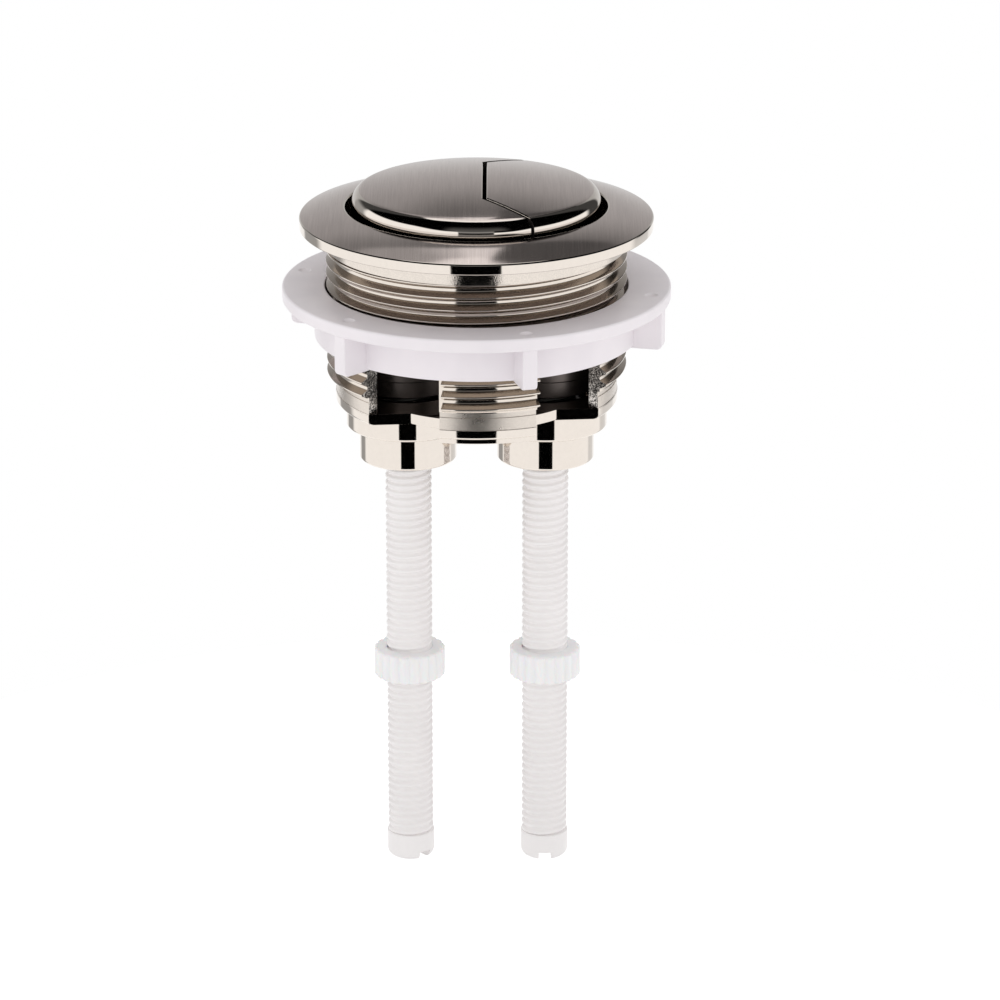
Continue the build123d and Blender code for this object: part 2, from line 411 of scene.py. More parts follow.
    def combine(self, other: "Piece", cut: Cut) -> "Piece":
        """Cut, join or intersect with another solid, which is used up.

        Args:
            other: The other solid.
            cut: What it does to this one.

        Returns:
            This piece.
        """
        self.rest()
        bpy.ops.object.modifier_add(type="BOOLEAN")
        action = self.obj.modifiers[-1]
        action.operation = cut.value
        action.solver = "EXACT"
        action.object = other.obj
        bpy.ops.object.modifier_apply(modifier=action.name)
        bpy.data.objects.remove(other.obj, do_unlink=True)
        self.edit()
        bpy.ops.mesh.remove_doubles(threshold=WELD)
        bpy.ops.mesh.dissolve_degenerate(threshold=WELD)
        bpy.ops.object.mode_set(mode="OBJECT")
        return self

    def gather(self, *others: "Piece") -> "Piece":
        """Join other pieces into this one as they stand.

        Args:
            others: The other pieces, which are used up.

        Returns:
            This piece.
        """
        self.rest()
        for other in others:
            other.obj.select_set(True)
        bpy.ops.object.join()
        return self

    def twin(self, name: str) -> "Piece":
        """Copy the piece with a mesh of its own.

        Args:
            name: Name of the copy.

        Returns:
            The copy.
        """
        self.rest()
        bpy.ops.object.duplicate(linked=False)
        return Piece(name)

    def soften(self, width: float, segments: int = 2, angle: float = 50.0) -> "Piece":
        """Round the edges that are sharper than an angle with a Bevel modifier.

        Args:
            width: Width of the rounding.
            segments: Facets across it.
            angle: Sharpest angle that is left, in degrees.

        Returns:
            This piece.
        """
        self.rest()
        bpy.ops.object.modifier_add(type="BEVEL")
        rounding = self.obj.modifiers[-1]
        rounding.width = width * MM
        rounding.segments = segments
        rounding.limit_method = "ANGLE"
        rounding.angle_limit = math.radians(angle)
        bpy.ops.object.modifier_apply(modifier=rounding.name)
        return self

    def loose_parts(self) -> list["Piece"]:
        """Separate the piece into its unconnected parts.

        Returns:
            The parts, this piece's own object among them.
        """
        self.edit()
        bpy.ops.mesh.separate(type="LOOSE")
        bpy.ops.object.mode_set(mode="OBJECT")
        parts = []
        for obj in list(bpy.context.selected_objects):
            bpy.context.view_layer.objects.active = obj
            parts.append(Piece(obj.name))
        return parts

    def middle(self) -> Vector:
        """Mean place of the piece's points, in millimetres."""
        points = [v.co for v in self.obj.data.vertices]
        return sum(points, Vector()) / len(points) / MM

    # ------------------------------------------------------------ dressing

    def smooth(self, angle: float = 32.0) -> "Piece":
        """Shade the piece smooth, with its broad faces kept true.

        Args:
            angle: Sharpest edge that is smoothed, in degrees.

        Returns:
            This piece.
        """
        self.rest()
        bpy.ops.object.shade_smooth_by_angle(angle=math.radians(angle))
        bpy.ops.object.modifier_add(type="WEIGHTED_NORMAL")
        weighing = self.obj.modifiers[-1]
        weighing.keep_sharp = True
        weighing.weight = BROAD_FACE_WEIGHT
        bpy.ops.object.modifier_apply(modifier=weighing.name)
        return self

    def dress(
        self,
        finishes: Sequence["Finish"],
        choose: Callable[[Vector, Vector], "Finish"] | None = None,
    ) -> "Piece":
        """Give the piece its finishes.

        Args:
            finishes: The finishes, in the order of the piece's material slots.
            choose: Takes a face's middle in millimetres and its normal, and gives the face's finish.

        Returns:
            This piece.
        """
        self.rest()
        mesh = self.obj.data
        mesh.materials.clear()
        for finish in finishes:
            mesh.materials.append(finish.material())
        for face in mesh.polygons:
            face.material_index = finishes.index(choose(face.center / MM, face.normal)) if choose else 0
        return self

    def mount(self, body: str, slot: str, *nodes: str) -> "Piece":
        """Hand the piece to the frame.

        Args:
            body: The body that it rides on.
            slot: The record's material slot; not used.
            nodes: The nodes that it stands for.

        Returns:
            This piece.
        """
        clear_selection()
        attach(self.obj, body)
        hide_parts(*nodes)
        log.info("%s: %d faces on %s", self.obj.name, len(self.obj.data.polygons), body)
        return self


# ---------------------------------------------------------------- finishes


class Wire:
    """A value that comes out of a node. Sums with it add Math nodes."""

    def __init__(self, graph: "Graph", socket: bpy.types.NodeSocket) -> None:
        """Wrap an output socket of a graph's node."""
        self.graph = graph
        self.socket = socket

    def __add__(self, other: "Wire | float") -> "Wire":
        """This value and another, added."""
        return self.graph.maths("ADD", self, other)

    __radd__ = __add__

    def __sub__(self, other: "Wire | float") -> "Wire":
        """This value less another."""
        return self.graph.maths("SUBTRACT", self, other)

    def __rsub__(self, other: float) -> "Wire":
        """A number less this value."""
        return self.graph.maths("SUBTRACT", other, self)

    def __mul__(self, other: "Wire | float") -> "Wire":
        """This value times another."""
        return self.graph.maths("MULTIPLY", self, other)

    __rmul__ = __mul__

    def __abs__(self) -> "Wire":
        """This value without its sign."""
        return self.graph.maths("ABSOLUTE", self)


class Graph:
    """A node tree that is being wired."""

    def __init__(self, tree: bpy.types.NodeTree) -> None:
        """Start from an empty tree."""
        self.tree = tree
        tree.nodes.clear()

    def node(
        self,
        kind: str,
        settings: dict[str, Any] | None = None,
        sockets: dict[str | int, Any] | None = None,
        output: str | int = 0,
    ) -> Wire | None:
        """Add a node, set it up and wire its inputs.

        Args:
            kind: The node's type.
            settings: Its settings.
            sockets: Values or wires for its inputs.
            output: The output that is wanted.

        Returns:
            The wanted output, or None for a node that has none.
        """
        made = self.tree.nodes.new(kind)
        for key, value in (settings or {}).items():
            setattr(made, key, value)
        for key, value in (sockets or {}).items():
            if isinstance(value, Wire):
                self.tree.links.new(value.socket, made.inputs[key])
            else:
                made.inputs[key].default_value = value
        return Wire(self, made.outputs[output]) if len(made.outputs) else None

    def maths(self, operation: str, *values: Wire | float) -> Wire:
        """Work on values with a Math node."""
        return self.node("ShaderNodeMath", {"operation": operation}, dict(enumerate(values)))

    def step(self, value: Wire, low: float, high: float) -> Wire:
        """Rise smoothly from 0 to 1 as a value goes from low to high."""
        sockets = {"Value": value, "From Min": low, "From Max": high}
        return self.node("ShaderNodeMapRange", {"interpolation_type": "SMOOTHSTEP"}, sockets)

    def fall(self, value: Wire, low: float, high: float) -> Wire:
        """Fall smoothly from 1 to 0 as a value goes from low to high."""
        return 1.0 - self.step(value, low, high)

    def noise(self, size: Place, detail: float = 2.0, roughness: float = 0.5) -> Wire:
        """Noise on the piece's own coordinates.

        Args:
            size: Size of the noise along X, Y and Z, in millimetres.
            detail: Octaves of finer noise.
            roughness: Strength of the finer noise.

        Returns:
            Values about a half.
        """
        place = self.node("ShaderNodeTexCoord", output="Object")
        scaled = self.node(
            "ShaderNodeMapping", {"vector_type": "POINT"},
            {"Vector": place, "Scale": [1.0 / (a * MM) for a in size]},
        )
        return self.node(
            "ShaderNodeTexNoise", {"noise_dimensions": "3D"},
            {"Vector": scaled, "Scale": 1.0, "Detail": detail, "Roughness": roughness},
        )

    def blend(self, share: Wire, low: Colour, high: Colour) -> Wire:
        """Mix two colours by a share."""
        return self.node(
            "ShaderNodeMix", {"data_type": "RGBA"}, {0: share, 6: low, 7: high}, output=2
        )

    def bump(self, height: Wire, depth: float) -> Wire:
        """Normals of a relief.

        Args:
            height: Height from 0 to 1.
            depth: Depth of the relief in millimetres.

        Returns:
            The normal.
        """
        return self.node("ShaderNodeBump", {}, {"Height": height, "Distance": depth * MM, "Strength": 1.0})

    def surface(self, sockets: dict[str, Any]) -> None:
        """End the tree with a Principled shader."""
        shader = self.node("ShaderNodeBsdfPrincipled", {}, sockets)
        self.node("ShaderNodeOutputMaterial", {}, {"Surface": shader})

    def metal(self, colour: Wire, roughness: Wire, normal: Wire) -> None:
        """End the tree with a bare metal.

        Args:
            colour: Its colour.
            roughness: Its roughness.
            normal: Its normal.
        """
        self.surface({"Base Color": colour, "Metallic": 1.0, "Roughness": roughness, "Normal": normal})


def new_graph(name: str) -> tuple[bpy.types.Material, Graph]:
    """Make a material and open its node tree.

    Args:
        name: Name of the material.

    Returns:
        The material and its graph.
    """
    material = bpy.data.materials.new(name)
    material.use_nodes = True
    return material, Graph(material.node_tree)


@dataclass(frozen=True)
class Finish:
    """A finish, made into a material once and shared by the pieces that wear it."""

    name: str
    colour: Colour

    def material(self) -> bpy.types.Material:
        """The finish's material, made when it is first asked for."""
        return bpy.data.materials.get(self.name) or self.make()

    def make(self) -> bpy.types.Material:
        """Make the material.

        Returns:
            The material.
        """
        raise NotImplementedError

    def darker(self, share: float) -> Colour:
        """The finish's colour, darkened to a share of itself."""
        return tuple(c * share for c in self.colour[:3]) + (1.0,)


@dataclass(frozen=True)
class PolishedNickel(Finish):
    """Bright plate over a moulding, with the faint waves of its surface."""

    roughness: float = 0.05
    wave: float = 2.6
    wave_depth: float = 0.002
    haze: float = 0.9

    def make(self) -> bpy.types.Material:
        """Make the material.

        Returns:
            The material.
        """
        material, graph = new_graph(self.name)
        waves = graph.noise((self.wave,) * 3)
        haze = graph.noise((self.haze,) * 3, 3.0)
        graph.metal(
            graph.blend(haze, self.darker(0.93), self.colour),
            self.roughness + haze * 0.05,
            graph.bump(waves, self.wave_depth),
        )
        return material


@dataclass(frozen=True)
class BrushedNickel(Finish):
    """Satin plate with straight strokes from front to back."""

    roughness: float = 0.07
    stroke: float = 0.2
    stroke_length: float = 9.0
    depth: float = 0.0003

    def make(self) -> bpy.types.Material:
        """Make the material.

        Returns:
            The material.
        """
        material, graph = new_graph(self.name)
        fine = graph.noise((self.stroke, self.stroke_length, self.stroke_length), roughness=0.6)
        broad = graph.noise((self.stroke * 5, self.stroke_length * 2, self.stroke_length * 2))
        strokes = fine * 0.7 + broad * 0.3
        graph.metal(
            graph.blend(graph.step(strokes, 0.25, 0.75), self.darker(0.86), self.colour),
            self.roughness + strokes * 0.05,
            graph.bump(strokes, self.depth),
        )
        return material


@dataclass(frozen=True)
class GrainyNickel(Finish):
    """Plate over a surface that was left as moulded, with a fine grain."""

    roughness: float = 0.1
    grain: float = 0.22
    depth: float = 0.02
    # share by which the colour darkens between the grains: a faint random tarnish at small values, painted shade
    # at large ones
    tarnish_and_shade: float = 0.2
    patch: float = 1.6

    def make(self) -> bpy.types.Material:
        """Make the material.

        Returns:
            The material.
        """
        material, graph = new_graph(self.name)
        grains = graph.noise((self.grain,) * 3, roughness=0.6)
        patches = graph.noise((self.patch,) * 3)
        bright = graph.step(grains + patches * 0.4, 0.6, 0.85)
        graph.metal(
            graph.blend(bright, self.darker(1.0 - self.tarnish_and_shade), self.colour),
            self.roughness + patches * 0.1,
            graph.bump(grains, self.depth),
        )
        return material


@dataclass(frozen=True)
class MouldedPlastic(Finish):
    """White moulded plastic with a soft gloss, slightly uneven in colour."""

    shade: Colour = (0.7, 0.7, 0.7, 1.0)
    roughness: float = 0.3
    subsurface: float = 0.0
    cloud: Place = (6.0, 6.0, 9.0)
    pebble: float = 0.5
    depth: float = 0.004
    glow_depth: float = 0.8
    refraction: float = 1.48

    def make(self) -> bpy.types.Material:
        """Make the material.

        Returns:
            The material.
        """
        material, graph = new_graph(self.name)
        clouds = graph.noise(self.cloud)
        pebbles = graph.noise((self.pebble,) * 3)
        graph.surface({
            "Base Color": graph.blend(graph.step(clouds, 0.25, 0.75), self.shade, self.colour),
            "Roughness": self.roughness + pebbles * 0.12,
            "Normal": graph.bump(pebbles, self.depth),
            "Subsurface Weight": self.subsurface,
            "Subsurface Scale": self.glow_depth * MM,
            "IOR": self.refraction,
        })
        return material


@dataclass(frozen=True)
class DrawnSteel(Finish):
    """Spring wire with drawing marks and an oily sheen."""

    roughness: float = 0.3
    mark: Place = (0.15, 0.15, 1.2)
    depth: float = 0.004

    def make(self) -> bpy.types.Material:
        """Make the material.

        Returns:
            The material.
        """
        material, graph = new_graph(self.name)
        marks = graph.noise(self.mark, 3.0)
        graph.metal(
            graph.blend(marks, self.darker(0.7), self.colour),
            self.roughness + marks * 0.2,
            graph.bump(marks, self.depth),
        )
        return material


POLISHED = PolishedNickel("mirror_nickel_plate", (0.725, 0.665, 0.605, 1.0), roughness=0.02)
THREAD = PolishedNickel(
    "threaded_nickel_plate", (0.7, 0.635, 0.57, 1.0), roughness=0.04, wave=1.1, wave_depth=0.003
)
# painted shade: the upper thread flanks get a dark brown base colour that stands in for the shade and dark
# reflections in the grooves
FLANK_PAINTED_SHADE = PolishedNickel(
    "thread_flank_painted_shade", (0.31, 0.26, 0.215, 1.0), roughness=0.12, wave=1.1, wave_depth=0.005
)
# painted shade: a near-black nickel on the bore, the posts, the legs and the walls of the split stands in for the
# shade in these recesses
RECESS_PAINTED_SHADE = PolishedNickel("inner_nickel_painted_shade", (0.2, 0.172, 0.16, 1.0), roughness=0.4)
BRUSHED = BrushedNickel("satin_nickel_plate", (0.65, 0.567, 0.532, 1.0))
GRAINY = GrainyNickel(
    "grainy_nickel_plate", (0.69, 0.63, 0.57, 1.0), roughness=0.05, depth=0.012, tarnish_and_shade=0.07
)
LEAD = GrainyNickel("grainy_lead_plate", (0.69, 0.63, 0.57, 1.0), roughness=0.24, tarnish_and_shade=0.07)
# painted shade: the cut sides of the windows are darkened to under a tenth of their colour between bright grains,
# standing in for the shade there
CUT_PAINTED_SHADE = GrainyNickel("cut_nickel_painted_shade", (0.7, 0.66, 0.62, 1.0), grain=0.24, depth=0.03, tarnish_and_shade=0.93)
NUT_WHITE = MouldedPlastic(
    "white_nut_plastic", (0.875, 0.828, 0.855, 1.0), shade=(0.835, 0.79, 0.82, 1.0)
)
ROD_WHITE = MouldedPlastic(
    "white_rod_plastic", (0.94, 0.91, 0.905, 1.0), shade=(0.91, 0.88, 0.875, 1.0), roughness=0.36
)
LOCK_WHITE = MouldedPlastic(
    "white_lock_nut_plastic", (0.94, 0.935, 0.94, 1.0), shade=(0.915, 0.91, 0.915, 1.0), subsurface=0.2
)
SPRING = DrawnSteel("spring_wire", (0.56, 0.55, 0.53, 1.0))


# ---------------------------------------------------------------- the pieces


@dataclass(frozen=True)
class Thread:
    """The form of a right-handed thread, and the height of one of its crests at the front."""

    root: float
    crest: float
    pitch: float
    crest_flat: float
    root_flat: float
    crest_round: float
    root_round: float
    crest_at_front: float
    spare_turns: int = 2

    def line(self, name: str, bottom: float) -> Piece:
        """Draw one pitch of the thread as an open line, ready to be wound.

        Args:
            name: Name of the piece.
            bottom: Height at which the line starts, in the middle of a root.

        Returns:
            The line, in the XZ plane.
        """
        behind = self.root - 3.0
        flank = (self.pitch - self.crest_flat - self.root_flat) / 2
        rise = self.root_flat / 2
        heights = [rise, rise + flank, rise + flank + self.crest_flat, self.pitch - rise]
        line = Piece.outline(name, [
            Corner(behind, bottom),
            Corner(self.root, bottom),
            Corner(self.root, bottom + heights[0], self.root_round, 3),
            Corner(self.crest, bottom + heights[1], self.crest_round, 2),
            Corner(self.crest, bottom + heights[2], self.crest_round, 2),
            Corner(self.root, bottom + heights[3], self.root_round, 3),
            Corner(self.root, bottom + self.pitch),
            Corner(behind, bottom + self.pitch),
        ])
        line.pick_points(lambda p: p.x < self.root - 1.0)
        bpy.ops.mesh.delete(type="VERT")
        bpy.ops.mesh.select_all(action="SELECT")
        bpy.ops.mesh.delete(type="ONLY_FACE")
        bpy.ops.object.mode_set(mode="OBJECT")
        return line

    def wind(self, name: str, low: float, high: float, steps: int) -> Piece:
        """Wind the thread with turns to spare past both ends, where it is then trimmed.

        Args:
            name: Name of the piece.
            low: Height that the thread reaches down to.
            high: Height that it reaches up to.
            steps: Facets in one turn.

        Returns:
            The wound thread.
        """
        quarter = self.pitch / 4
        below = math.ceil((self.crest_at_front + quarter - low) / self.pitch) + self.spare_turns
        bottom = self.crest_at_front + quarter - (below + 0.5) * self.pitch
        turns = math.ceil((high - bottom) / self.pitch) + self.spare_turns
        return self.line(name, bottom).screw(self.pitch, turns, steps)


@dataclass
class Housing:
    """The plated moulding: bezel, threaded barrel with its windows, floor, webs and cups."""

    rim_height: float = 1.75
    hole_radius: float = 21.45
    bezel_bulge: float = 0.2
    rim_edge: float = 0.32
    lip_edge: float = 0.3
    neck_depth: float = 3.0
    thread: Thread = Thread(
        root=23.5, crest=24.7, pitch=2.08, crest_flat=0.24, root_flat=0.62,
        crest_round=0.09, root_round=0.16, crest_at_front=-5.09,
    )
    thread_end: float = -24.75
    lead_steps: tuple[tuple[float, float], ...] = ((23.1, -25.65), (23.2, -27.75), (23.3, -29.4))
    lead_lap: float = 0.4
    foot_radius: float = 23.1
    foot_end: float = -30.1
    foot_lap: float = 0.2
    clocking: float = 5.0
    pillar_angle: float = 39.4
    window_angle: float = 34.0
    window_top: float = -14.0
    relief_angle: float = 1.5
    floor_top: float = -27.6
    floor_bottom: float = -29.4
    floor_radius: float = 18.2
    floor_edge: float = 0.25
    web_radius: float = 23.28
    web_edge: float = 0.7
    cup_wall: float = 1.5
    wide_cup: float = 10.2
    wide_cup_end: float = -34.2
    lower_cup: float = 8.05
    cup_edge: float = 0.5
    stem_hole: float = 5.25
    bezel_radius: float = field(init=False)
    lip_height: float = field(init=False)
    cup_end: float = field(init=False)

    def __post_init__(self) -> None:
        """Take the outer sizes from the frame."""
        low, high = box_mm("housing")
        self.bezel_radius = high.x
        self.lip_height = high.z
        self.cup_end = low.z

    def build(self) -> list[Piece]:
        """Build the housing's pieces.

        Returns:
            The bezel, the barrel and the floor with its cups.
        """
        return [self.bezel(), self.barrel(), self.floor()]

    def bezel(self) -> Piece:
        """Turn the bezel with the plain neck under it.

        Returns:
            The bezel.
        """
        crown = [
            Corner(
                self.bezel_radius + (self.hole_radius - self.bezel_radius) * share,
                self.rim_height + (self.lip_height - self.rim_height) * share
                + self.bezel_bulge * 4 * share * (1 - share),
            )
            for share in (0.2, 0.35, 0.5, 0.65, 0.8)
        ]
        bezel = Piece.turned("bezel", [
            Corner(self.hole_radius, -self.neck_depth),
            Corner(self.thread.crest, -self.neck_depth, 0.12, 2),
            Corner(self.thread.crest, 0.0, 0.2, 3),
            Corner(self.bezel_radius, 0.0, 0.2, 3),
            Corner(self.bezel_radius, self.rim_height, self.rim_edge, 6),
            *crown,
            Corner(self.hole_radius, self.lip_height, self.lip_edge, 5),
        ], steps=192)
        bezel.smooth(30.0)

        def finish(place: Vector, normal: Vector) -> Finish:
            """Brushed on the sloping top, grained on the neck, polished on the edges.

            Args:
                place: A face's middle.
                normal: Its normal.

            Returns:
                The face's finish.
            """
            radius = math.hypot(place.x, place.y)
            if place.z < -0.25 and radius > self.hole_radius + 0.5:
                return GRAINY
            flat_top = normal.z > 0.93 and self.hole_radius + 0.3 < radius < self.bezel_radius - 0.35
            return BRUSHED if flat_top else POLISHED

        bezel.dress((POLISHED, BRUSHED, GRAINY), finish)
        return bezel.mount("housing", "brushed_nickel", "housing")

    def wall_cutters(
        self, name: str, inner: float, bottom: float, starts: Sequence[float], sweep: float, steps: int
    ) -> Piece:
        """Sectors that cut the barrel's wall below the tops of the windows.

        Args:
            name: First word of the cutters' names.
            inner: Radius that they reach in to.
            bottom: Height that they reach down to.
            starts: Angles from +X at which they start, in degrees.
            sweep: Angle that each sweeps, in degrees.
            steps: Facets along each.

        Returns:
            The cutters, in one piece.
        """
        corners = [
            Corner(inner, self.window_top), Corner(inner, bottom),
            Corner(self.bezel_radius, bottom), Corner(self.bezel_radius, self.window_top),
        ]
        sectors = [Piece.sector(f"{name}_{n}", corners, start, sweep, steps) for n, start in enumerate(starts)]
        return sectors[0].gather(*sectors[1:])

    def window_cutters(self) -> Piece:
        """Four sectors that open the barrel wall.

        Returns:
            The cutters.
        """
        half_pillar = self.pillar_angle / 2
        starts = [
            turn + self.clocking + start
            for turn in FRONT_AND_BACK
            for start in (half_pillar, -half_pillar - self.window_angle)
        ]
        return self.wall_cutters("window", self.floor_radius, self.foot_end - 1, starts, self.window_angle, 12)

    def relief_cutters(self) -> Piece:
        """Narrow sectors that cut the thread back beside the left edge of each pillar.

        Returns:
            The cutters.
        """
        overrun = 0.5
        starts = [turn + self.clocking - self.pillar_angle / 2 - overrun for turn in FRONT_AND_BACK]
        sweep = self.relief_angle + overrun
        return self.wall_cutters("relief", self.thread.root - 0.1, self.thread_end - 0.2, starts, sweep, 3)

    def bore(self) -> Piece:
        """Core of the barrel's bore."""
        return Piece.plug("bore", self.hole_radius, self.foot_end - 5.0, 5.0, steps=128)

    def barrel(self) -> Piece:
        """Wind the barrel's thread, add the stepped lead and feet, and open the windows.

        Returns:
            The barrel.
        """
        barrel = self.thread.wind("barrel", self.thread_end, -self.neck_depth, 144)
        barrel.trim((0, 0, self.thread_end), (0, 0, 1), Keep.ABOVE)
        barrel.trim((0, 0, -self.neck_depth + LAP), (0, 0, 1), Keep.BELOW)
        barrel.combine(self.bore(), Cut.AWAY)
        barrel.combine(self.relief_cutters(), Cut.AWAY)
        barrel.combine(self.window_cutters(), Cut.AWAY)
        lead = self.lead()
        lead.combine(self.window_cutters(), Cut.AWAY)
        barrel.gather(lead, *self.feet())
        barrel.smooth(32.0)
        grain_end = self.lead_steps[1][1]

        def finish(place: Vector, normal: Vector) -> Finish:
            """Grained on the upper lead, pitted and darkened with painted shade on the cut sides of the windows,
            darkened with painted shade on the upper flanks and in the bore.

            Args:
                place: A face's middle.
                normal: Its normal.

            Returns:
                The face's finish.
            """
            outward = Vector((place.x, place.y, 0.0)).normalized()
            facing = normal.dot(outward)
            # painted shade: the bore's inner faces get the near-black finish
            if facing < -0.5:
                return RECESS_PAINTED_SHADE
            # painted shade, with grain, on the cut sides of the windows
            if abs(normal.z) < 0.2 and abs(facing) < 0.3 and place.z > self.floor_top:
                return CUT_PAINTED_SHADE
            # painted shade on the upper flanks of the thread
            if place.z > self.thread_end:
                return FLANK_PAINTED_SHADE if normal.z > 0.35 else THREAD
            return LEAD if place.z > grain_end - 0.05 else POLISHED

        barrel.dress((POLISHED, THREAD, LEAD, CUT_PAINTED_SHADE, RECESS_PAINTED_SHADE, FLANK_PAINTED_SHADE), finish)
        return barrel.mount("housing", "polished_nickel", "housing")

    def lead(self) -> Piece:
        """Turn the stepped plain lead below the thread.

        Returns:
            The lead.
        """
        top = self.thread_end + self.lead_lap
        corners = [Corner(self.hole_radius, top)]
        last = len(self.lead_steps) - 1
        for number, (radius, end) in enumerate(self.lead_steps):
            corners.append(Corner(radius, top, 0.07 if number else 0.0, 3))
            corners.append(Corner(radius, end, 0.5 if number == last else 0.0, 6))
            top = end
        corners.append(Corner(self.hole_radius, top))
        return Piece.turned("lead", corners, steps=144)

    def feet(self) -> list[Piece]:
        """Short feet under the front and back pillars.

        Returns:
            The two feet.
        """
        top = self.lead_steps[-1][1] + self.foot_lap
        corners = [
            Corner(self.hole_radius, top), Corner(self.foot_radius, top),
            Corner(self.foot_radius, self.foot_end, 0.15, 3), Corner(self.hole_radius, self.foot_end),
        ]
        start = self.clocking - self.pillar_angle / 2
        return [
            Piece.sector(f"foot_{n}", corners, turn + start, self.pillar_angle, 20)
            for n, turn in enumerate(FRONT_AND_BACK)
        ]

    def plate(self, name: str, radius: float, edge: float, edge_steps: int, steps: int) -> Piece:
        """Turn a round plate at the height of the floor.

        Args:
            name: Name of the plate.
            radius: Its radius.
            edge: Rounding of its lower edge.
            edge_steps: Facets across that rounding.
            steps: Facets round the plate.

        Returns:
            The plate.
        """
        return Piece.turned(name, [
            Corner(0.0, self.floor_top), Corner(radius, self.floor_top, 0.1, 2),
            Corner(radius, self.floor_bottom, edge, edge_steps), Corner(0.0, self.floor_bottom),
        ], steps)

    def floor(self) -> Piece:
        """Build the barrel's floor, the flat-fronted webs beside it and the two stepped cups.

        Returns:
            The floor with its cups.
        """
        floor = self.plate("cup_carrier", self.floor_radius, self.floor_edge, 3, 96)
        webs = self.plate("webs", self.web_radius, self.web_edge, 5, 144)
        half_depth = self.web_radius * math.cos(math.radians(self.pillar_angle / 2 + self.window_angle))
        turn = math.radians(self.clocking)
        for sign in (-1, 1):
            normal = (-sign * math.sin(turn), sign * math.cos(turn), 0.0)
            webs.trim((normal[0] * half_depth, normal[1] * half_depth, 0.0), normal, Keep.BELOW)
        floor.combine(webs, Cut.ONTO)
        floor.soften(0.08, 2, 60.0)
        for side in Side:
            radius = self.wide_cup - self.cup_wall
            low, high = self.floor_bottom - 2, self.floor_top + 2
            floor.combine(Piece.plug("hole", radius, low, high, 72, (side.axis, 0.0)), Cut.AWAY)
        floor.gather(*[self.cup(side) for side in Side])
        floor.smooth(32.0)
        floor.dress((POLISHED,))
        return floor.mount("housing", "polished_nickel", "housing")

    def cup(self, side: Side) -> Piece:
        """Turn one stepped cup.

        Args:
            side: The flush that it belongs to.

        Returns:
            The cup.
        """
        wide_bore = self.wide_cup - self.cup_wall
        lower_bore = self.lower_cup - self.cup_wall
        seat = self.cup_end + self.cup_wall
        return Piece.turned(f"{side.prefix}_cup", [
            Corner(self.wide_cup, self.floor_bottom + LAP),
            Corner(self.wide_cup, self.wide_cup_end, self.cup_edge, 6),
            Corner(self.lower_cup, self.wide_cup_end, 0.12, 3),
            Corner(self.lower_cup, self.cup_end, self.cup_edge, 6),
            Corner(self.stem_hole, self.cup_end, 0.15, 2),
            Corner(self.stem_hole, seat),
            Corner(lower_bore, seat),
            Corner(lower_bore, self.wide_cup_end + self.cup_wall),
            Corner(wide_bore, self.wide_cup_end + self.cup_wall),
            Corner(wide_bore, self.floor_bottom + LAP),
        ], steps=112, axis=(side.axis, 0.0))


